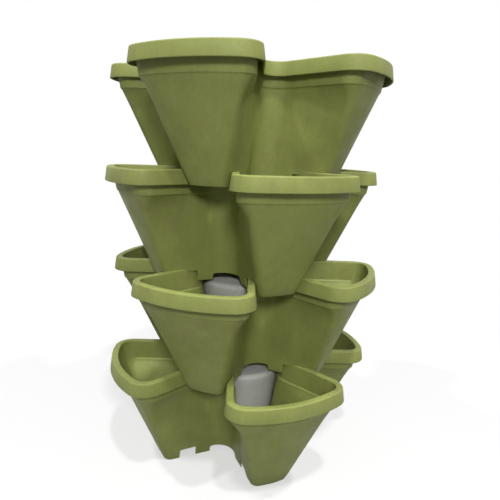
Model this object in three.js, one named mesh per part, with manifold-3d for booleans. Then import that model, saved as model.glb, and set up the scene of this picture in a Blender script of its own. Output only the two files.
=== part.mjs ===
// Vertical planter tower: four stacking pots with four lobes each, and a core between each two pots.
// Millimetres, +Z up. The tower stands on z = 0 with its axis on Z. Lobes of the bottom pot point along X and Y.
import * as THREE from 'three';
import { mergeVertices } from 'three/addons/utils/BufferGeometryUtils.js';
import Module from 'manifold-3d';

const wasm = await Module();
wasm.setup();

// The stack
const lobeCount = 4;
const potCount = 4;
const pitch = 116;
const nestDepth = 16;
const seatGap = 0.3;
const potHeight = pitch + nestDepth;
const lobeTurn = (2 * Math.PI) / lobeCount;
const potTurn = lobeTurn / 2;

// Walls
const wall = 2.2;
const overrun = 1;

// Plan of the rim: a lobe has a gentle front arc and two tighter corners, and a groove runs down between lobes
const rimSection = {
  tip: 164.5,
  front: 146,
  corner: 21.5,
  spread: THREE.MathUtils.degToRad(22),
  waist: 64.2,
  groove: 16.5,
};

// Plan of the foot, which each wall tapers down to
const footSection = {
  tip: 108,
  front: 100,
  corner: 9,
  spread: THREE.MathUtils.degToRad(8.9),
  waist: 40,
  groove: 20,
};

// Rim lip: a flange with a skirt hanging from its edge
const lipWidth = 8;
const lipRound = 1.2;
const skirtHeight = nestDepth;
const skirtDraft = 2;
const skirtWall = 2;

// Collar under the lip, and the small step at its lower end
const collarHeight = 27;
const collarDraft = 0.6;
const stepWidth = 1.8;
const stepDrop = 1;

// Floor and its drain holes
const floorHeight = 15;
const floorThickness = 2.4;
const drainRadius = 3.5;
const drainPlaces = [58, 84];
const middleDrainRadius = 9;

// Lower edge: a notch in each side wall straddles the wall of the pot below, and an arch opens each groove
const notchHeight = 13;
const notchInner = 67.2;
const notchOuter = 88.5;
const notchRound = 2;
const archHalfWidth = 48;
const archHeight = 8;
const archRound = 3;
const rimClearance = 0.8;

// Core: a drum that fills the waist of its pot and flares with it
const coreClearance = 2;
const coreRound = 6;
const coreRise = 3;
const coreWall = 2;

// Facets
const frontSteps = 2;
const cornerSteps = 3;
const grooveSteps = 2;
const roundSteps = 2;
const drainSides = 6;
const coreSides = 24;

const potColor = '#7f8a45';
const coreColor = '#a3a1a6';

// Sections

const grown = (section, by) => ({
  tip: section.tip + by,
  front: section.front + by,
  corner: section.corner + by,
  spread: section.spread,
  waist: section.waist + by,
  groove: section.groove - by,
});

const arc = (center, radius, from, to, steps) => {
  const points = [];
  for (let i = 0; i <= steps; i += 1) {
    const angle = THREE.MathUtils.lerp(from, to, i / steps);
    points.push(new THREE.Vector2(Math.cos(angle), Math.sin(angle)).multiplyScalar(radius).add(center));
  }
  return points;
};

// Half a lobe, from the middle of its front arc to the middle of the groove beside it
const halfLobe = (section) => {
  const { tip, front, corner, spread, waist, groove } = section;
  const frontCenter = new THREE.Vector2(tip - front, 0);
  const toCorner = new THREE.Vector2(Math.cos(spread), Math.sin(spread)).multiplyScalar(front - corner);
  const cornerCenter = frontCenter.clone().add(toCorner);
  const grooveAngle = lobeTurn / 2;
  const grooveCenter = new THREE.Vector2(Math.cos(grooveAngle), Math.sin(grooveAngle));
  grooveCenter.multiplyScalar(waist + groove);
  const between = grooveCenter.clone().sub(cornerCenter);
  const sideNormal = between.angle() - Math.acos((corner + groove) / between.length());
  return [
    ...arc(frontCenter, front, 0, spread, frontSteps),
    ...arc(cornerCenter, corner, spread, sideNormal, cornerSteps).slice(1),
    ...arc(grooveCenter, groove, sideNormal + Math.PI, grooveAngle + Math.PI, grooveSteps),
  ];
};

const outline = (section, turn = 0) => {
  const half = halfLobe(section);
  const mirror = half.slice(1).reverse().map((p) => new THREE.Vector2(p.x, -p.y));
  const lobe = [...mirror, ...half].slice(1);
  const axis = new THREE.Vector2();
  const points = [];
  for (let i = 0; i < lobeCount; i += 1) {
    for (const p of lobe) points.push(p.clone().rotateAround(axis, turn + i * lobeTurn));
  }
  return points;
};

// Solids

const solidFrom = (positions, triangles) =>
  new wasm.Manifold(
    new wasm.Mesh({
      numProp: 3,
      vertProperties: new Float32Array(positions),
      triVerts: new Uint32Array(triangles),
    }),
  );

// Both halves of a lobe are split along mirrored diagonals, and the two skins of a wall along the same ones
const band = (triangles, low, high, count, rising) => {
  const lobePoints = count / lobeCount;
  for (let i = 0; i < count; i += 1) {
    const next = (i + 1) % count;
    const leading = next % lobePoints < lobePoints / 2;
    if (leading === rising) {
      triangles.push(low + i, low + next, high + i, low + next, high + next, high + i);
    } else {
      triangles.push(low + i, low + next, high + next, low + i, high + next, high + i);
    }
  }
};

// A skin through rings, each an outline and its height, closed by a flat face in the first ring and one in the last
const loft = (rings) => {
  const positions = [];
  const triangles = [];
  const count = rings[0][0].length;
  for (const [points, z] of rings) {
    for (const p of points) positions.push(p.x, p.y, z);
  }
  for (let i = 1; i < rings.length; i += 1) {
    band(triangles, (i - 1) * count, i * count, count, rings[i][1] > rings[i - 1][1]);
  }
  const lastRing = (rings.length - 1) * count;
  const firstCenter = rings.length * count;
  const lastCenter = firstCenter + 1;
  positions.push(0, 0, rings[0][1], 0, 0, rings[rings.length - 1][1]);
  for (let i = 0; i < count; i += 1) {
    const next = (i + 1) % count;
    triangles.push(firstCenter, next, i, lastCenter, lastRing + i, lastRing + next);
  }
  return solidFrom(positions, triangles);
};

// A geometry in its place as a solid, without the flat triangles that a revolved profile has on its axis
const placed = (geometry, matrix) => {
  const bare = geometry.clone().applyMatrix4(matrix);
  bare.deleteAttribute('normal');
  bare.deleteAttribute('uv');
  const merged = mergeVertices(bare);
  const index = merged.getIndex().array;
  const triangles = [];
  for (let i = 0; i < index.length; i += 3) {
    const [a, b, c] = index.slice(i, i + 3);
    if (a !== b && b !== c && c !== a) triangles.push(a, b, c);
  }
  return solidFrom(merged.getAttribute('position').array, triangles);
};

const upright = (radius, low, high, x, y, sides) => {
  const geometry = new THREE.CylinderGeometry(radius, radius, high - low, sides);
  geometry.rotateX(Math.PI / 2);
  return placed(geometry, new THREE.Matrix4().makeTranslation(x, y, (low + high) / 2));
};

const ringOf = (count, make) => {
  let all = null;
  for (let i = 0; i < count; i += 1) {
    const one = make((2 * Math.PI * i) / count);
    all = all ? all.add(one) : one;
  }
  return all;
};

// An opening in the lower edge, drawn in the XZ plane with rounded upper corners and run through along Y
const lowerOpening = (fromX, toX, height, round, halfLength) => {
  const shape = new THREE.Shape();
  shape.moveTo(fromX, -overrun);
  shape.lineTo(toX, -overrun);
  shape.lineTo(toX, height - round);
  shape.absarc(toX - round, height - round, round, 0, Math.PI / 2, false);
  shape.lineTo(fromX + round, height);
  shape.absarc(fromX + round, height - round, round, Math.PI / 2, Math.PI, false);
  const geometry = new THREE.ExtrudeGeometry(shape, {
    depth: 2 * halfLength,
    bevelEnabled: false,
    curveSegments: roundSteps,
  });
  geometry.translate(0, 0, -halfLength);
  geometry.rotateX(Math.PI / 2);
  return geometry;
};

// Pot

const collarSection = grown(rimSection, wall - lipWidth);
const collarFoot = grown(collarSection, -collarDraft);
const bodyTop = grown(collarFoot, -stepWidth);
const collarLevel = potHeight - collarHeight;
const bodyLevel = collarLevel - stepDrop;

const middleLevel = bodyLevel / 2;
const floorTop = floorHeight + floorThickness;

// The body's outline at a height, grown outward. Its walls run straight from the foot to the collar.
const bodyOutline = (z, by = 0, turn = 0) => {
  const top = outline(grown(bodyTop, by), turn);
  return outline(grown(footSection, by), turn).map((p, i) => p.lerp(top[i], z / bodyLevel));
};

const rimOutline = (by) => outline(grown(rimSection, by));

// The whole moulding in one skin: under the floor, down inside the feet, up the outside, round the lip and down again
const shellSolid = () => {
  const under = potHeight - wall;
  const skirtFoot = potHeight - skirtHeight;
  return loft([
    [bodyOutline(floorHeight, -wall), floorHeight],
    [bodyOutline(0, -wall), 0],
    [bodyOutline(0), 0],
    [bodyOutline(floorHeight), floorHeight],
    [bodyOutline(middleLevel), middleLevel],
    [bodyOutline(bodyLevel), bodyLevel],
    [outline(collarFoot), collarLevel],
    [outline(collarSection), under],
    [rimOutline(-skirtWall), under],
    [rimOutline(skirtDraft - skirtWall), skirtFoot],
    [rimOutline(skirtDraft), skirtFoot],
    [rimOutline(0), potHeight - lipRound],
    [rimOutline(-lipRound), potHeight],
    [rimOutline(-lipWidth), potHeight],
    [outline(grown(collarFoot, -wall)), collarLevel + wall],
    [bodyOutline(bodyLevel, -wall), bodyLevel + wall],
    [bodyOutline(middleLevel, -wall), middleLevel],
    [bodyOutline(floorTop, -wall), floorTop],
  ]);
};

// What the feet of the pot above take out of the lip. The wall inside the lip stays, up to the seat.
const seatLevel = pitch + notchHeight - seatGap;

const feetAbove = () => {
  const feet = loft([
    [bodyOutline(0, rimClearance, potTurn), pitch - seatGap],
    [bodyOutline(0, rimClearance, potTurn), pitch],
    [bodyOutline(floorHeight, rimClearance, potTurn), pitch + floorHeight],
    [bodyOutline(middleLevel, rimClearance, potTurn), pitch + middleLevel],
  ]);
  const kept = loft([
    [outline(grown(collarFoot, seatGap)), collarLevel],
    [outline(grown(collarSection, seatGap)), seatLevel],
  ]);
  return feet.subtract(kept);
};

const drainHoles = () => {
  const low = floorHeight - overrun;
  const high = floorTop + overrun;
  let holes = upright(middleDrainRadius, low, high, 0, 0, drainSides);
  for (const place of drainPlaces) {
    const row = ringOf(lobeCount, (angle) =>
      upright(drainRadius, low, high, place * Math.cos(angle), place * Math.sin(angle), drainSides));
    holes = holes.add(row);
  }
  return holes;
};

const lowerOpenings = () => {
  const across = footSection.tip;
  const notch = lowerOpening(notchInner, notchOuter, notchHeight, notchRound, archHalfWidth);
  const arch = lowerOpening(-archHalfWidth, archHalfWidth, archHeight, archRound, across);
  const lengthwise = placed(arch, new THREE.Matrix4());
  const crosswise = placed(arch, new THREE.Matrix4().makeRotationZ(lobeTurn));
  const notches = ringOf(lobeCount, (angle) => placed(notch, new THREE.Matrix4().makeRotationZ(angle)));
  return notches.add(lengthwise.intersect(crosswise));
};

const potSolid = (isTop) => {
  const pot = shellSolid().subtract(lowerOpenings()).subtract(drainHoles());
  return isTop ? pot : pot.subtract(feetAbove());
};

// Core: a flaring drum, open below, with a rounded shoulder and a crown that sheds what drips from the pot above

const coreFoot = floorTop + seatGap;
const coreHeight = pitch - 2 * seatGap - coreFoot;

const coreRadius = (z) => THREE.MathUtils.lerp(footSection.waist, bodyTop.waist, z / bodyLevel) - wall - coreClearance;

const coreSkin = (inset) => {
  const shoulder = coreHeight - coreRise - coreRound;
  const roundCenter = new THREE.Vector2(coreRadius(coreFoot + shoulder) - coreRound, shoulder);
  return [
    new THREE.Vector2(coreRadius(coreFoot) - inset, 0),
    ...arc(roundCenter, coreRound - inset, 0, Math.PI / 2, cornerSteps),
    new THREE.Vector2(0, coreHeight - inset),
  ];
};

const coreSolid = () => {
  const outside = coreSkin(0);
  const inside = coreSkin(coreWall).reverse();
  return placed(
    new THREE.LatheGeometry([...outside, ...inside, outside[0]], coreSides),
    new THREE.Matrix4().makeRotationX(Math.PI / 2),
  );
};

// Assembly

const meshOf = (name, solid, material) => {
  const { vertProperties, triVerts } = solid.getMesh();
  const geometry = new THREE.BufferGeometry();
  geometry.setAttribute('position', new THREE.BufferAttribute(new Float32Array(vertProperties), 3));
  geometry.setIndex(new THREE.BufferAttribute(new Uint32Array(triVerts), 1));
  geometry.computeVertexNormals();
  const mesh = new THREE.Mesh(geometry, material);
  mesh.name = name;
  return mesh;
};

const potMaterial = () => new THREE.MeshStandardMaterial({ color: potColor, roughness: 0.55, metalness: 0 });
const coreMaterial = () => new THREE.MeshStandardMaterial({ color: coreColor, roughness: 0.6, metalness: 0 });

const planterTower = () => {
  const tower = new THREE.Group();
  const lowerPot = potSolid(false);
  const topPot = potSolid(true);
  const core = coreSolid();
  for (let level = 0; level < potCount; level += 1) {
    const isTop = level === potCount - 1;
    const tier = new THREE.Group();
    tier.position.z = level * pitch;
    tier.rotation.z = (level % 2) * potTurn;
    const suffix = level === 0 ? '_bottom' : isTop ? '_top' : '';
    tier.add(meshOf(`pot_${level + 1}${suffix}`, isTop ? topPot : lowerPot, potMaterial()));
    if (!isTop) {
      const drum = meshOf(`core_${level + 1}`, core, coreMaterial());
      drum.position.z = coreFoot;
      tier.add(drum);
    }
    tower.add(tier);
  }
  return tower;
};

export default planterTower();
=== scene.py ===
"""A planter tower: four stacking pots with four lobes each, and cores inside the lower three.

Metres, +Z up. The tower stands on z = 0 with its axis on Z. Each pot is turned against the next by half the
angle between two lobes.
"""

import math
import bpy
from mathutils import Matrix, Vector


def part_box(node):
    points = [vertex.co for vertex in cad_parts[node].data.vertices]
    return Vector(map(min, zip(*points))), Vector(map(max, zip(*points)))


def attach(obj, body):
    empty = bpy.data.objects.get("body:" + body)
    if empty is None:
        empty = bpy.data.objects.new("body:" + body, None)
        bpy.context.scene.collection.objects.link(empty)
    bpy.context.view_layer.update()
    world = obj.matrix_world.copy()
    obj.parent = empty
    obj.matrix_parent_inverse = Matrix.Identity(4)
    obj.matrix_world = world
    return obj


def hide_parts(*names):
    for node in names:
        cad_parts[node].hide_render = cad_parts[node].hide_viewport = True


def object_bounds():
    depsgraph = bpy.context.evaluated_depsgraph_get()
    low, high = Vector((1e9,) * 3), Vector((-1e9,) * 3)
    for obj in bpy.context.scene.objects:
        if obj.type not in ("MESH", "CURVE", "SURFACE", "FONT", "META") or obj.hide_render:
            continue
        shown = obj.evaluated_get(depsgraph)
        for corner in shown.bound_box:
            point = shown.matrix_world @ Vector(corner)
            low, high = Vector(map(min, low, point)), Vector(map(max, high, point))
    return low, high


bl_info = {
    "name": "Planter Tower",
    "version": (1, 0, 0),
    "blender": (4, 5, 0),
    "location": "3D View > Sidebar > Planter Tower",
    "description": "Builds a tower of stacking planter pots with its cores and a small studio",
    "category": "Add Mesh",
}

from typing import NamedTuple

import bmesh
import bpy
import numpy as np
from bpy.props import FloatProperty, FloatVectorProperty, PointerProperty
from mathutils import Matrix, Vector
from mathutils.geometry import intersect_point_line

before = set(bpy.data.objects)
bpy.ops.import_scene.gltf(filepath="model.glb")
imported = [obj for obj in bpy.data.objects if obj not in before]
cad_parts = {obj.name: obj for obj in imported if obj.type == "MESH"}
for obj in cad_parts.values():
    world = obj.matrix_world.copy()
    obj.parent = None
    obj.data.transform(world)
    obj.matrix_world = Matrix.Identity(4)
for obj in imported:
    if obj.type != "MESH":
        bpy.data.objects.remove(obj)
CAD_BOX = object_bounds()

LOWER_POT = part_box("pot_1_bottom")
SECOND_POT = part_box("pot_2")
TOP_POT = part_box("pot_4_top")
FIRST_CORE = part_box("core_1")

LOBES = 4
LOBE_ANGLE = math.tau / LOBES
SMOOTH_UNDER = math.radians(32)
HAIRLINE = 0.00002


# Sizes and looks that a user would change


class PotSizes(bpy.types.PropertyGroup):
    """Sizes of one pot, shared by the whole tower"""

    height: FloatProperty(
        name="Pot height", description="From the foot to the top of the rim", unit="LENGTH",
        default=TOP_POT[1].z - TOP_POT[0].z)
    pitch: FloatProperty(
        name="Pitch", description="Height from one rim to the next", unit="LENGTH",
        default=SECOND_POT[0].z - LOWER_POT[0].z)
    wall: FloatProperty(
        name="Wall", description="Thickness of the moulded wall", unit="LENGTH", default=0.0022)
    skirt_draft: FloatProperty(
        name="Skirt draft", description="How far the skirt leans outward at its lower edge", unit="LENGTH",
        default=0.002)
    skirt_height: FloatProperty(
        name="Skirt height", description="Height of the skirt that hangs from the rim", unit="LENGTH",
        default=0.016)
    lip_width: FloatProperty(
        name="Lip width", description="Width of the flat flange round the rim", unit="LENGTH", default=0.008)
    lip_round: FloatProperty(
        name="Lip rounding", description="Radius of the rim's upper edges", unit="LENGTH", default=0.0017)
    collar_height: FloatProperty(
        name="Collar height", description="From the rim's top to the step under the collar", unit="LENGTH",
        default=0.027)
    collar_taper: FloatProperty(
        name="Collar taper", description="How far the collar leans in at the front of a lobe", unit="LENGTH",
        default=0.004)
    step_width: FloatProperty(
        name="Step width", description="How far the wall steps in under the collar", unit="LENGTH",
        default=0.0018)
    corner_cut: FloatProperty(
        name="Corner cut", description="How much tighter the wall's corners are than the collar's",
        unit="LENGTH", default=0.006)
    corner_turn: FloatProperty(
        name="Corner turn", description="Angle by which the wall's corners stand inside the collar's",
        unit="ROTATION", default=math.radians(1.1))
    flare_height: FloatProperty(
        name="Flare height", description="Height over which the corners flare out to the collar",
        unit="LENGTH", default=0.024)
    floor_height: FloatProperty(
        name="Floor height", description="Height of the floor's underside above the foot", unit="LENGTH",
        default=0.015)
    floor_thickness: FloatProperty(
        name="Floor thickness", description="Thickness of the pot's floor", unit="LENGTH", default=0.0024)
    notch_height: FloatProperty(
        name="Notch height", description="Height of the notch that straddles the wall below", unit="LENGTH",
        default=0.013)
    arch_height: FloatProperty(
        name="Arch height", description="Height of the arch in each groove", unit="LENGTH", default=0.008)


class CoreSizes(bpy.types.PropertyGroup):
    """Sizes of a core"""

    clearance: FloatProperty(
        name="Clearance", description="Gap between the core and the waist of its pot", unit="LENGTH",
        default=0.002)
    wall: FloatProperty(name="Wall", description="Thickness of the drum", unit="LENGTH", default=0.002)
    shoulder: FloatProperty(
        name="Shoulder", description="Radius of the rounded shoulder", unit="LENGTH", default=0.006)
    rise: FloatProperty(
        name="Rise", description="Height of the crown above its shoulder", unit="LENGTH", default=0.003)


class Finish(bpy.types.PropertyGroup):
    """Colours of the moulded plastics"""

    green: FloatVectorProperty(
        name="Pot colour", description="Sage green of the pots", subtype="COLOR", size=3, min=0, max=1,
        default=(0.255, 0.284, 0.079))
    stain: FloatVectorProperty(
        name="Stain colour", description="Brown of the faint stains", subtype="COLOR", size=3, min=0, max=1,
        default=(0.2, 0.165, 0.07))
    grey: FloatVectorProperty(
        name="Core colour", description="Light grey of the cores", subtype="COLOR", size=3, min=0, max=1,
        default=(0.48, 0.48, 0.465))


class Studio(bpy.types.PropertyGroup):
    """Camera and lamps"""

    camera_place: FloatVectorProperty(
        name="Camera place", description="Where the camera stands", subtype="TRANSLATION", size=3,
        default=(-0.2303, -0.5555, 0.3870))
    heading: FloatProperty(
        name="Heading", description="Turn of the view to the right of +Y", subtype="ANGLE",
        default=math.radians(23.35))
    dip: FloatProperty(
        name="Dip", description="Downward tilt of the view", subtype="ANGLE", default=math.radians(11.8))
    roll: FloatProperty(
        name="Roll", description="Sideways tilt of the camera", subtype="ANGLE", default=math.radians(1.885))
    lens: FloatProperty(name="Lens", description="Focal length in millimetres", default=34.7)
    left_lamp: FloatVectorProperty(
        name="Left lamp", description="Place of the high lamp on the left, seen from the camera",
        subtype="TRANSLATION", size=3, default=(-1.4, 0.18, 2.89))
    front_lamp: FloatVectorProperty(
        name="Front lamp", description="Place of the high lamp behind the camera", subtype="TRANSLATION",
        size=3, default=(-0.26, -1.38, 2.89))
    right_lamp: FloatVectorProperty(
        name="Right lamp", description="Place of the high lamp on the right", subtype="TRANSLATION", size=3,
        default=(1.0, -0.99, 2.89))
    lamp_size: FloatProperty(
        name="Lamp size", description="Width of the three high lamps", unit="LENGTH", default=0.2)
    lamp_power: FloatVectorProperty(
        name="Lamp power", description="Power of the left, front and right lamps in watts", size=3,
        default=(37, 37, 37))
    low_lamp: FloatVectorProperty(
        name="Low lamp", description="Place of the broad lamp behind and above the camera",
        subtype="TRANSLATION", size=3, default=(-0.55, -1.50, 1.10))
    low_lamp_size: FloatProperty(
        name="Low lamp size", description="Width of the low lamp", unit="LENGTH", default=0.35)
    low_lamp_power: FloatProperty(
        name="Low lamp power", description="Power of the low lamp in watts", default=15)
    fill: FloatProperty(name="Fill", description="Strength of the surrounding light", default=0.19)


# Plans


FRONT_STEPS = 8
CORNER_STEPS = 12
SIDE_STEPS = 6
GROOVE_STEPS = 8


def direction(angle):
    """A step of one metre at an angle, seen from above."""
    return np.array((math.cos(angle), math.sin(angle)))


def arc(center, radius, start, stop, steps):
    """Points along an arc, with both of its ends."""
    angles = np.linspace(start, stop, steps + 1)
    return center + radius * np.column_stack((np.cos(angles), np.sin(angles)))


class Plan(NamedTuple):
    """A lobed outline from above: lobes with a gentle front and two corners, and a groove between lobes."""

    tip: float  # reach of a lobe from the axis
    front: float  # radius of the lobe's front
    corner: float  # radius of the lobe's corners
    spread: float  # angle from the middle of the front to a corner
    waist: float  # reach of the groove from the axis
    groove: float  # radius of the groove

    def grown(self, by):
        """The plan with its wall moved outward."""
        return Plan(
            self.tip + by, self.front + by, self.corner + by, self.spread, self.waist + by, self.groove - by)

    def shorter(self, by):
        """The plan with the front and corners of its lobes moved inward."""
        return self._replace(tip=self.tip - by)

    def sharper(self, cut, turn):
        """The plan with tighter corners that stand nearer to the middle of the lobe."""
        return self._replace(corner=self.corner - cut, spread=self.spread - turn)

    def half_lobe(self):
        """From the middle of a lobe's front to the middle of the groove beside it."""
        front_center = np.array((self.tip - self.front, 0.0))
        corner_center = front_center + (self.front - self.corner) * direction(self.spread)
        groove_angle = LOBE_ANGLE / 2
        groove_center = (self.waist + self.groove) * direction(groove_angle)
        between = groove_center - corner_center
        side_angle = math.atan2(between[1], between[0]) % math.tau
        side_angle -= math.acos((self.corner + self.groove) / np.hypot(*between))
        front_arc = arc(front_center, self.front, 0, self.spread, FRONT_STEPS)
        corner_arc = arc(corner_center, self.corner, self.spread, side_angle, CORNER_STEPS)
        groove_arc = arc(
            groove_center, self.groove, side_angle + math.pi, groove_angle + math.pi, GROOVE_STEPS)
        share = np.linspace(0, 1, SIDE_STEPS + 1)[1:-1, None]
        side = corner_arc[-1] * (1 - share) + groove_arc[0] * share
        return np.vstack((front_arc, corner_arc[1:], side, groove_arc))

    def outline(self, turn=0.0):
        """All lobes, as points that go round once."""
        half = self.half_lobe()
        mirrored = half[1:-1][::-1] * (1, -1)
        lobe = np.vstack((mirrored, half))
        lobes = []
        for number in range(LOBES):
            angle = turn + number * LOBE_ANGLE
            spin = np.array(((math.cos(angle), math.sin(angle)), (-math.sin(angle), math.cos(angle))))
            lobes.append(lobe @ spin)
        return np.vstack(lobes)


RIM = Plan(tip=0.1645, front=0.146, corner=0.0215, spread=math.radians(22), waist=0.0642, groove=0.0165)
FOOT = Plan(tip=0.108, front=0.1, corner=0.009, spread=math.radians(8.9), waist=0.04, groove=0.02)


# Meshes


def neighbours(row):
    """Each member of a closed row with the next one."""
    return zip(row, row[1:] + row[:1])


def to_object(name, shape):
    """A bmesh as an object of the scene."""
    mesh = bpy.data.meshes.new(name)
    shape.to_mesh(mesh)
    shape.free()
    made = bpy.data.objects.new(name, mesh)
    bpy.context.collection.objects.link(made)
    return made


def loft(name, rings):
    """A closed skin through rings of points, with a flat face in the first ring and in the last."""
    shape = bmesh.new()
    rows = [[shape.verts.new((x, y, z)) for x, y in points] for points, z in rings]
    for low, high in zip(rows, rows[1:]):
        for (a, b), (d, c) in zip(neighbours(low), neighbours(high)):
            shape.faces.new((a, b, c, d))
    bottom = shape.verts.new((0, 0, rings[0][1]))
    for a, b in neighbours(rows[0]):
        shape.faces.new((bottom, b, a))
    top = shape.verts.new((0, 0, rings[-1][1]))
    for a, b in neighbours(rows[-1]):
        shape.faces.new((top, a, b))
    return to_object(name, shape)


def turned_profile(name, profile, sides):
    """A closed profile, turned once round Z. A point on the axis stays a single one."""
    shape = bmesh.new()
    rows = []
    for radius, z in profile:
        if radius == 0:
            rows.append([shape.verts.new((0, 0, z))] * sides)
        else:
            angles = np.linspace(0, math.tau, sides, endpoint=False)
            rows.append([shape.verts.new((radius * math.cos(a), radius * math.sin(a), z)) for a in angles])
    for low, high in neighbours(rows):
        for (a, b), (d, c) in zip(neighbours(low), neighbours(high)):
            corners = list(dict.fromkeys((a, b, c, d)))
            if len(corners) > 2:
                shape.faces.new(corners)
    bmesh.ops.recalc_face_normals(shape, faces=shape.faces)
    return to_object(name, shape)


def prism(name, points, depth, matrix):
    """A cutter: an outline in the XZ plane, run along Y to both sides."""
    shape = bmesh.new()
    near = [shape.verts.new((x, -depth, z)) for x, z in points]
    far = [shape.verts.new((x, depth, z)) for x, z in points]
    shape.faces.new(near)
    shape.faces.new(far[::-1])
    for (a, b), (d, c) in zip(neighbours(near), neighbours(far)):
        shape.faces.new((b, a, d, c))
    bmesh.ops.recalc_face_normals(shape, faces=shape.faces)
    bmesh.ops.transform(shape, matrix=matrix, verts=shape.verts)
    return to_object(name, shape)


def drill(name, radius, low, high, place, sides):
    """A cutter: an upright cylinder."""
    shape = bmesh.new()
    bmesh.ops.create_cone(
        shape, cap_ends=True, segments=sides, radius1=radius, radius2=radius, depth=high - low,
        matrix=Matrix.Translation((place.x, place.y, (low + high) / 2)))
    return to_object(name, shape)


def combine(piece, others, operation):
    """Cuts the others out of the piece, or keeps what they share with it, and deletes them."""
    for number, other in enumerate(others):
        step = piece.modifiers.new(f"{operation.lower()}_{number}", "BOOLEAN")
        step.operation = operation
        step.object = other
        step.solver = "EXACT"
    depsgraph = bpy.context.evaluated_depsgraph_get()
    mesh = bpy.data.meshes.new_from_object(piece.evaluated_get(depsgraph))
    piece.modifiers.clear()
    old = piece.data
    piece.data = mesh
    bpy.data.meshes.remove(old)
    discard(*others)
    return cleaned(piece)


def close_cracks(shape):
    """Splits each open edge where the corner of another face lies on it, and joins the two."""
    open_edges = [edge for edge in shape.edges if edge.is_boundary]
    corners = {vert for edge in open_edges for vert in edge.verts}
    for edge in open_edges:
        start, end = (vert.co for vert in edge.verts)
        for corner in corners.difference(edge.verts):
            place, share = intersect_point_line(corner.co, start, end)
            if 0 < share < 1 and (place - corner.co).length < HAIRLINE:
                bmesh.utils.edge_split(edge, edge.verts[0], share)
                break
    bmesh.ops.remove_doubles(shape, verts=shape.verts, dist=HAIRLINE)


def cleaned(piece):
    """Closes the hairline faces that a cut leaves where two edges all but meet."""
    shape = bmesh.new()
    shape.from_mesh(piece.data)
    bmesh.ops.remove_doubles(shape, verts=shape.verts, dist=HAIRLINE)
    bmesh.ops.dissolve_degenerate(shape, edges=shape.edges, dist=HAIRLINE)
    close_cracks(shape)
    bmesh.ops.triangulate(shape, faces=[face for face in shape.faces if len(face.verts) > 4])
    shape.to_mesh(piece.data)
    shape.free()
    return piece


def placed_copy(source, name, lift=0.0, turn=0.0):
    """A copy of a piece, with its place in the mesh itself."""
    mesh = source.data.copy()
    mesh.name = name
    mesh.transform(Matrix.Translation((0, 0, lift)) @ Matrix.Rotation(turn, 4, "Z"))
    made = bpy.data.objects.new(name, mesh)
    bpy.context.collection.objects.link(made)
    return made


def smoothed(piece):
    """Smooth shading with crisp edges where the faces meet at an angle."""
    mesh = piece.data
    mesh.polygons.foreach_set("use_smooth", [True] * len(mesh.polygons))
    mesh.set_sharp_from_angle(angle=SMOOTH_UNDER)
    return piece


def discard(*pieces):
    """Deletes pieces that were only a help."""
    for piece in pieces:
        mesh = piece.data
        bpy.data.objects.remove(piece)
        bpy.data.meshes.remove(mesh)


# Pot


def upright(plan):
    """A wall that has the same plan at every height."""
    return lambda z, by: plan.grown(by).outline()


def rounded(wall, by, z, radius, start, stop, steps=4):
    """Rings round an edge of a wall, from one angle in degrees to another.

    The rounding's middle lies at an offset from the wall's plan and at a height.
    """
    rings = []
    for angle in np.linspace(math.radians(start), math.radians(stop), steps + 1):
        level = z + radius * math.sin(angle)
        rings.append((wall(level, by + radius * math.cos(angle)), level))
    return rings


def rising(low, high, count, closer=1.6):
    """Levels that come closer together towards the top, where the corners flare."""
    return [low + (high - low) * (1 - share ** closer) for share in np.linspace(1, 0, count)]


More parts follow.
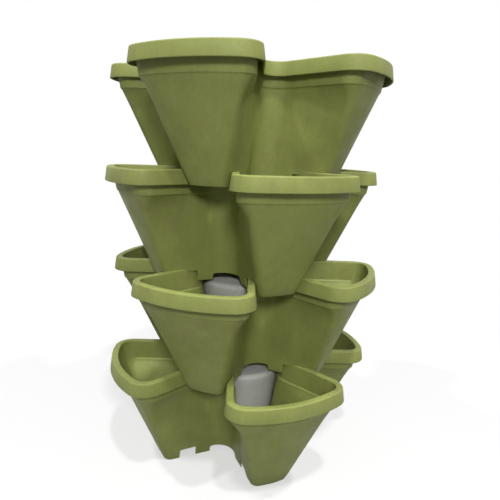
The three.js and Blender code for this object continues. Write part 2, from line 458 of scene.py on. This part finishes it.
class PotShape:
    """The levels and rings of a pot, worked out from its sizes and from the small ones below."""

    # Wall, collar, lip, skirt and floor
    collar_draft = 0.0006
    collar_edge = 0.0008
    collar_edge_inset = 0.0002
    step_height = 0.001
    step_edge = 0.0006
    under_lip = 0.0012
    lip_inner_edge = 0.0012
    skirt_wall = 0.002
    skirt_corner = 0.0008
    under_floor = 0.0015
    on_floor = 0.003
    outer_levels = 20
    inner_levels = 18

    # Notches and arches in the lower edge, and drain holes
    notch_inner = 0.0672
    notch_outer = 0.0885
    notch_corner = 0.002
    notch_reach = 0.048
    arch_half_width = 0.048
    arch_corner = 0.003
    arch_reach = 0.11
    corner_steps = 8
    drain_radius = 0.0035
    drain_reaches = (0.058, 0.084)
    drain_sides = 32
    middle_drain_radius = 0.009
    middle_drain_sides = 48
    overrun = 0.001

    # Fit with the pot above
    seat_gap = 0.0003
    foot_clearance = 0.0008
    crossing_share = 0.5
    crossing_levels = 8

    def __init__(self, sizes):
        self.sizes = sizes
        self.collar = RIM.grown(sizes.wall - sizes.lip_width)
        self.collar_foot = self.collar.grown(-self.collar_draft).shorter(sizes.collar_taper)
        self.body_top = self.collar_foot.grown(-sizes.step_width)
        self.slim_top = self.body_top.sharper(sizes.corner_cut, sizes.corner_turn)
        self.collar_level = sizes.height - sizes.collar_height
        self.body_level = self.collar_level - self.step_height
        self.floor_top = sizes.floor_height + sizes.floor_thickness

    def body(self, z, by=0.0, turn=0.0):
        """The body's outline at a height: straight walls, with corners that flare out under the collar."""
        flared_share = 1 - (self.body_level - z) / self.sizes.flare_height
        flare = min(1.0, max(0.0, flared_share)) ** 2
        foot, slim, wide = (plan.grown(by).outline(turn) for plan in (FOOT, self.slim_top, self.body_top))
        share = z / self.body_level
        return foot * (1 - share) + (slim * (1 - flare) + wide * flare) * share

    def shell(self, name):
        """The whole moulding as one skin.

        It runs from under the floor down inside the feet, up outside, round the lip and down to the floor.
        """
        sizes = self.sizes
        wall, top, edge, draft = sizes.wall, sizes.height, sizes.lip_round, sizes.skirt_draft
        collar, collar_foot, rim = upright(self.collar), upright(self.collar_foot), upright(RIM)
        foot_edge = wall / 4
        lip_foot = top - wall
        lip_inside = self.lip_inner_edge
        skirt_edge = self.skirt_wall / 2
        skirt_foot = top - sizes.skirt_height

        # From under the floor, down inside the feet and up outside to the step
        rings = rounded(
            self.body, -wall - self.under_floor, sizes.floor_height - self.under_floor,
            self.under_floor, 90, 0)
        rings += rounded(self.body, -wall / 2, foot_edge, foot_edge, 180, 360)
        outside = rising(0.0, self.body_level, self.outer_levels)
        rings += [(self.body(level), level) for level in outside[1:-1]]
        step_foot = self.body_level - self.step_edge
        rings.append((self.body(step_foot), step_foot))

        # Up the collar, out under the lip, down and up round the skirt and over the lip
        rings += rounded(
            collar_foot, -self.collar_edge - self.collar_edge_inset, self.collar_level + self.collar_edge,
            self.collar_edge, -80, 0)
        rings += rounded(collar, self.under_lip, lip_foot - self.under_lip, self.under_lip, 180, 90)
        rings += rounded(
            rim, -self.skirt_wall - self.skirt_corner, lip_foot - self.skirt_corner, self.skirt_corner, 90, 0)
        rings += rounded(rim, draft - skirt_edge, skirt_foot + skirt_edge, skirt_edge, 180, 360, steps=6)
        rings += rounded(rim, -edge, top - edge, edge, 0, 90, steps=5)
        rings += rounded(rim, lip_inside - sizes.lip_width, top - lip_inside, lip_inside, 90, 180)

        # Down inside, over the ledge behind the step and onto the floor
        ledge = self.collar_level + wall + self.step_edge
        rings.append((collar_foot(ledge, -wall), ledge))
        inside = rising(self.floor_top + self.on_floor, self.body_level + wall, self.inner_levels)
        rings += [(self.body(level, -wall), level) for level in inside[::-1]]
        rings += rounded(
            self.body, -wall - self.on_floor, self.floor_top + self.on_floor, self.on_floor, 0, -90)[1:]
        return loft(name, rings)

    def opening(self, name, low, high, height, corner, depth, matrix):
        """A cutter for the lower edge, with rounded upper corners."""
        points = [(low, -self.overrun), (high, -self.overrun)]
        quarter = math.pi / 2
        for place, start in ((high - corner, 0.0), (low + corner, quarter)):
            middle = np.array((place, height - corner))
            points += list(arc(middle, corner, start, start + quarter, self.corner_steps))
        return prism(name, points, depth, matrix)

    def drain(self, radius, place, sides):
        """A cutter for a hole through the floor."""
        low, high = self.sizes.floor_height - self.overrun, self.floor_top + self.overrun
        return drill("drain", radius, low, high, place, sides)

    def arch_bar(self, turn):
        """A cutter as wide as the arches. What two crossed ones share opens all four grooves."""
        half = self.arch_half_width
        return self.opening(
            "arch", -half, half, self.sizes.arch_height, self.arch_corner, self.arch_reach,
            Matrix.Rotation(turn, 4, "Z"))

    def openings(self):
        """Cutters for the notches and arches in the lower edge and for the drain holes."""
        made = []
        for number in range(LOBES):
            spin = Matrix.Rotation(number * LOBE_ANGLE, 4, "Z")
            made.append(self.opening(
                "notch", self.notch_inner, self.notch_outer, self.sizes.notch_height, self.notch_corner,
                self.notch_reach, spin))
            for reach in self.drain_reaches:
                made.append(self.drain(self.drain_radius, spin @ Vector((reach, 0, 0)), self.drain_sides))
        made.append(combine(self.arch_bar(0), [self.arch_bar(LOBE_ANGLE)], "INTERSECT"))
        made.append(self.drain(self.middle_drain_radius, Vector(), self.middle_drain_sides))
        return made

    def feet_above(self):
        """What the pot above takes out of the lip: its feet, without the wall inside the lip."""
        pitch, turn = self.sizes.pitch, LOBE_ANGLE / 2
        rings = [(self.body(0, self.foot_clearance, turn), pitch - self.seat_gap)]
        for share in np.linspace(0, self.crossing_share, self.crossing_levels):
            level = share * self.body_level
            rings.append((self.body(level, self.foot_clearance, turn), pitch + level))
        seat = pitch + self.sizes.notch_height - self.seat_gap
        kept = loft("wall_kept", [
            (self.collar_foot.grown(self.seat_gap).outline(), self.collar_level),
            (self.collar.grown(self.seat_gap).outline(), seat),
        ])
        return combine(loft("feet_above", rings), [kept], "DIFFERENCE")


# Finishes


class Nodes:
    """The nodes of a material or a world, made and joined in short lines."""

    def __init__(self, owner):
        owner.use_nodes = True
        self.tree = owner.node_tree

    def new(self, kind):
        return self.tree.nodes.new("ShaderNode" + kind)

    def feed(self, socket, value):
        """Links an input to an output, or sets it to a value."""
        if isinstance(value, bpy.types.NodeSocket):
            self.tree.links.new(value, socket)
        else:
            socket.default_value = value

    def add(self, kind, output=0, **inputs):
        """A node with its inputs set or linked. Returns one of its outputs."""
        node = self.new(kind)
        for name, value in inputs.items():
            self.feed(node.inputs[name.replace("_", " ")], value)
        return node.outputs[output]

    def math(self, operation, *values):
        node = self.new("Math")
        node.operation = operation
        for socket, value in zip(node.inputs, values):
            self.feed(socket, value)
        return node.outputs["Value"]

    def blend(self, *parts):
        """The sum of values, each taken by its share."""
        total, *others = (self.math("MULTIPLY", value, share) for value, share in parts)
        for other in others:
            total = self.math("ADD", total, other)
        return total

    def between(self, value, low=0.0, high=1.0, to_low=0.0, to_high=1.0):
        """The value, carried from one span to another and held inside it."""
        return self.add("MapRange", Value=value, From_Min=low, From_Max=high, To_Min=to_low, To_Max=to_high)

    def mix(self, share, first, second):
        """Two colours mixed by a share."""
        node = self.new("Mix")
        node.data_type = "RGBA"
        used = (socket for socket in node.inputs if socket.enabled)
        for socket, value in zip(used, (share, first, second)):
            self.feed(socket, value)
        return next(socket for socket in node.outputs if socket.enabled)


def toned(color, by):
    """The colour made paler or darker by a share."""
    return (*(min(1.0, part * (1 + by)) for part in color), 1.0)


def moulded_plastic(name, color, stain, mottle, grain):
    """Matte moulded plastic: clouds, fine specks and drawn streaks, a few stains, and convex edges painted
    paler, partly as wear and partly as a painted highlight.
    """
    material = bpy.data.materials.new(name)
    nodes = Nodes(material)
    shader = material.node_tree.nodes["Principled BSDF"]
    place = nodes.add("TexCoord", "Object")

    def noise(scale, detail, roughness=0.5, vector=place):
        return nodes.add("TexNoise", Vector=vector, Scale=scale, Detail=detail, Roughness=roughness)

    clouds = noise(scale=24, detail=4, roughness=0.6)
    specks = noise(scale=420, detail=3, roughness=0.65)
    drawn = nodes.add("Mapping", Vector=place, Scale=(1.0, 1.0, 0.12))
    streaks = noise(scale=150, detail=3, roughness=0.6, vector=drawn)
    tone = nodes.blend((clouds, 0.5), (specks, 0.3), (streaks, 0.2))
    cloudy_share = nodes.between(tone, low=0.36, high=0.64)
    cloudy = nodes.mix(cloudy_share, toned(color, -mottle), toned(color, mottle))

    patches = nodes.math("MULTIPLY", noise(scale=46, detail=6, roughness=0.72), noise(scale=9, detail=2))
    stained_share = nodes.between(patches, low=0.27, high=0.42, to_high=0.3)
    stained = nodes.mix(stained_share, cloudy, (*stain, 1.0))
    # Convex edges, found by pointiness, are painted paler: partly wear along the edges, partly a painted
    # highlight where light catches them.
    edges = nodes.add("NewGeometry", "Pointiness")
    wear_and_highlight_share = nodes.between(edges, low=0.52, high=0.6, to_high=0.35)
    wear_and_highlight_color = toned(color, 0.45)
    nodes.feed(shader.inputs["Base Color"], nodes.mix(wear_and_highlight_share, stained, wear_and_highlight_color))

    sheen = nodes.between(noise(scale=60, detail=3), low=0.3, high=0.7, to_low=0.5, to_high=0.66)
    nodes.feed(shader.inputs["Roughness"], sheen)
    soft = nodes.add("Bump", Height=noise(scale=34, detail=1), Strength=grain, Distance=0.0012)
    fine = nodes.add(
        "Bump", Height=noise(scale=1400, detail=2), Strength=grain, Distance=0.0002, Normal=soft)
    nodes.feed(shader.inputs["Normal"], fine)
    shader.inputs["Specular IOR Level"].default_value = 0.32
    return material


class PLANTER_OT_pots(bpy.types.Operator):
    """Build the four stacking pots"""

    bl_idname = "planter.pots"
    bl_label = "Stacking pots"

    def execute(self, context):
        scene = context.scene
        sizes = scene.planter_pot
        shape = PotShape(sizes)
        finish = scene.planter_finish
        green = moulded_plastic("sage_green_plastic", finish.green, finish.stain, mottle=0.14, grain=0.3)
        top = combine(shape.shell("pot_form"), shape.openings(), "DIFFERENCE")
        lower = combine(placed_copy(top, "pot_form_cut"), [shape.feet_above()], "DIFFERENCE")
        for level, (form, name, node, body) in enumerate((
            (lower, "bottom_pot", "pot_1_bottom", "tier_1"),
            (lower, "second_pot", "pot_2", "tier_2"),
            (lower, "third_pot", "pot_3", "tier_3"),
            (top, "top_pot", "pot_4_top", "tier_4"),
        )):
            pot = smoothed(placed_copy(form, name, level * sizes.pitch, (level % 2) * LOBE_ANGLE / 2))
            pot.data.materials.append(green)
            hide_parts(node)
            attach(pot, body)
        discard(top, lower)
        return {"FINISHED"}


# Cores


class CoreShape:
    """The profile of a core, worked out from its sizes and the pot that it fills."""

    side_steps = 10
    shoulder_steps = 8
    crown_steps = 7
    bead_steps = 6
    sides = 96

    def __init__(self, sizes, pot):
        self.sizes = sizes
        self.pot = pot
        self.foot = FIRST_CORE[0].z
        self.height = FIRST_CORE[1].z - FIRST_CORE[0].z

    def radius(self, z):
        """Radius at a height above the core's foot: it flares with the waist of the pot."""
        share = (self.foot + z) / self.pot.body_level
        waist = FOOT.waist * (1 - share) + self.pot.body_top.waist * share
        return waist - self.pot.sizes.wall - self.sizes.clearance

    def skin(self, inset):
        """From the foot up the side, round the shoulder and over the crown, set in from the outside."""
        sizes = self.sizes
        shoulder = self.height - sizes.rise - sizes.shoulder
        foot_radius, side_radius = self.radius(0), self.radius(shoulder)
        points = []
        for share in np.linspace(0, 1, self.side_steps + 1)[1:-1]:
            points.append((foot_radius * (1 - share) + side_radius * share - inset, share * shoulder))
        middle = np.array((side_radius - sizes.shoulder, shoulder))
        points += list(arc(middle, sizes.shoulder - inset, 0, math.pi / 2, self.shoulder_steps))
        crown_radius, crown_foot = points[-1]
        crown_top = self.height - inset
        for share in np.linspace(0, 1, self.crown_steps + 1)[1:-1]:
            rise = (crown_top - crown_foot) * math.sin(share * math.pi / 2)
            points.append((crown_radius * (1 - share), crown_foot + rise))
        points.append((0, crown_top))
        return points

    def profile(self):
        """The drum's wall, with a rounded lower edge."""
        bead = self.sizes.wall / 2
        middle = np.array((self.radius(0) - bead, bead))
        edge = list(arc(middle, bead, math.pi, math.tau, self.bead_steps))
        return edge + self.skin(0) + self.skin(self.sizes.wall)[::-1]


class PLANTER_OT_cores(bpy.types.Operator):
    """Build the core inside each of the lower pots"""

    bl_idname = "planter.cores"
    bl_label = "Cores"

    def execute(self, context):
        scene = context.scene
        finish = scene.planter_finish
        grey = moulded_plastic("light_grey_plastic", finish.grey, finish.stain, mottle=0.08, grain=0.25)
        shape = CoreShape(scene.planter_core, PotShape(scene.planter_pot))
        form = turned_profile("core_form", shape.profile(), shape.sides)
        for level, (name, node, body) in enumerate((
            ("first_core", "core_1", "tier_1"),
            ("second_core", "core_2", "tier_2"),
            ("third_core", "core_3", "tier_3"),
        )):
            lift = shape.foot + level * scene.planter_pot.pitch
            core = smoothed(placed_copy(form, name, lift, (level % 2) * LOBE_ANGLE / 2))
            core.data.materials.append(grey)
            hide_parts(node)
            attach(core, body)
        discard(form)
        return {"FINISHED"}


# Studio


FLOOR_HALF_WIDTH = 6
FLOOR_FADE_START = 0.2
FLOOR_FADE_END = 0.9
SENSOR_WIDTH = 36
NEAR_CLIP = 0.01


def lamp(name, place, target, power, size):
    """A round lamp that faces the target."""
    data = bpy.data.lights.new(name, "AREA")
    data.shape = "DISK"
    data.size = size
    data.energy = power
    made = bpy.data.objects.new(name, data)
    made.location = place
    made.rotation_euler = (Vector(target) - Vector(place)).to_track_quat("-Z", "Y").to_euler()
    bpy.context.collection.objects.link(made)


def seen(nodes):
    """One for rays from the camera, from a gloss or through glass, and zero for those that gather light."""
    path = nodes.new("LightPath").outputs
    glossy = nodes.math("MAXIMUM", path["Is Camera Ray"], path["Is Glossy Ray"])
    return nodes.math("MAXIMUM", glossy, path["Is Transmission Ray"])


def pale_floor():
    """A plain pale floor that keeps the tower's shadow and fades into the white behind it."""
    material = bpy.data.materials.new("pale_floor")
    nodes = Nodes(material)
    shader = material.node_tree.nodes["Principled BSDF"]
    shader.inputs["Roughness"].default_value = 0.9
    shader.inputs["Specular IOR Level"].default_value = 0.1
    shown = seen(nodes)
    nodes.feed(shader.inputs["Base Color"], nodes.between(shown, to_low=0.16, to_high=0.92))
    grain = nodes.add("TexNoise", Scale=90.0)
    nodes.feed(shader.inputs["Normal"], nodes.add("Bump", Height=grain, Strength=0.05, Distance=0.001))

    distance = nodes.new("VectorMath")
    distance.operation = "LENGTH"
    nodes.feed(distance.inputs[0], nodes.add("TexCoord", "Object"))
    fade = nodes.between(distance.outputs["Value"], FLOOR_FADE_START, FLOOR_FADE_END, to_low=0.5)
    surface = nodes.new("MixShader")
    nodes.feed(surface.inputs["Fac"], nodes.math("MULTIPLY", fade, shown))
    nodes.feed(surface.inputs[1], shader.outputs["BSDF"])
    nodes.feed(surface.inputs[2], nodes.add("Emission", Strength=1.0))
    nodes.feed(nodes.tree.nodes["Material Output"].inputs["Surface"], surface.outputs["Shader"])
    return material


def studio_world(fill):
    """A world that looks white and gives a weak light from all sides."""
    world = bpy.data.worlds.new("studio_world")
    nodes = Nodes(world)
    background = world.node_tree.nodes["Background"]
    background.inputs["Color"].default_value = (1, 1, 1, 1)
    nodes.feed(background.inputs["Strength"], nodes.between(seen(nodes), to_low=fill))
    return world


def photo_camera(studio):
    """The camera at the photo's place and angle."""
    data = bpy.data.cameras.new("camera")
    data.lens = studio.lens
    data.sensor_width = SENSOR_WIDTH
    data.clip_start = NEAR_CLIP
    camera = bpy.data.objects.new("camera", data)
    heading = Matrix.Rotation(-studio.heading, 4, "Z")
    dip = Matrix.Rotation(math.pi / 2 - studio.dip, 4, "X")
    roll = Matrix.Rotation(studio.roll, 4, "Z")
    camera.matrix_world = Matrix.Translation(studio.camera_place) @ heading @ dip @ roll
    bpy.context.collection.objects.link(camera)
    return camera


class PLANTER_OT_studio(bpy.types.Operator):
    """Set the floor, the lamps, the white surroundings and the camera"""

    bl_idname = "planter.studio"
    bl_label = "Studio"

    def execute(self, context):
        scene = context.scene
        studio = scene.planter_studio
        shape = bmesh.new()
        bmesh.ops.create_grid(shape, x_segments=1, y_segments=1, size=FLOOR_HALF_WIDTH)
        floor = to_object("floor", shape)
        floor.data.materials.append(pale_floor())

        middle = (0, 0, (CAD_BOX[0][2] + CAD_BOX[1][2]) / 2)
        for name, power in zip(("left_lamp", "front_lamp", "right_lamp"), studio.lamp_power):
            lamp(name, getattr(studio, name), middle, power, studio.lamp_size)
        lamp("low_lamp", studio.low_lamp, middle, studio.low_lamp_power, studio.low_lamp_size)

        scene.world = studio_world(studio.fill)
        scene.camera = photo_camera(studio)
        scene.view_settings.view_transform = "Standard"
        return {"FINISHED"}


class PLANTER_PT_panel(bpy.types.Panel):
    """Buttons that build the tower"""

    bl_idname = "PLANTER_PT_panel"
    bl_label = "Planter Tower"
    bl_space_type = "VIEW_3D"
    bl_region_type = "UI"
    bl_category = "Planter Tower"

    def draw(self, context):
        for operator in OPERATORS:
            self.layout.operator(operator.bl_idname)


# Registration and start


GROUPS = {
    "planter_pot": PotSizes,
    "planter_core": CoreSizes,
    "planter_finish": Finish,
    "planter_studio": Studio,
}
OPERATORS = (PLANTER_OT_pots, PLANTER_OT_cores, PLANTER_OT_studio)


def register():
    """Adds the settings, the operators and the panel to Blender."""
    for name, group in GROUPS.items():
        bpy.utils.register_class(group)
        setattr(bpy.types.Scene, name, PointerProperty(type=group))
    for operator in OPERATORS:
        bpy.utils.register_class(operator)
    bpy.utils.register_class(PLANTER_PT_panel)


def unregister():
    """Takes them out again, in the opposite order."""
    bpy.utils.unregister_class(PLANTER_PT_panel)
    for operator in reversed(OPERATORS):
        bpy.utils.unregister_class(operator)
    for name, group in reversed(GROUPS.items()):
        delattr(bpy.types.Scene, name)
        bpy.utils.unregister_class(group)


def main():
    """Builds the tower and its studio."""
    register()
    bpy.ops.planter.pots()
    bpy.ops.planter.cores()
    bpy.ops.planter.studio()


if __name__ == "__main__":
    main()
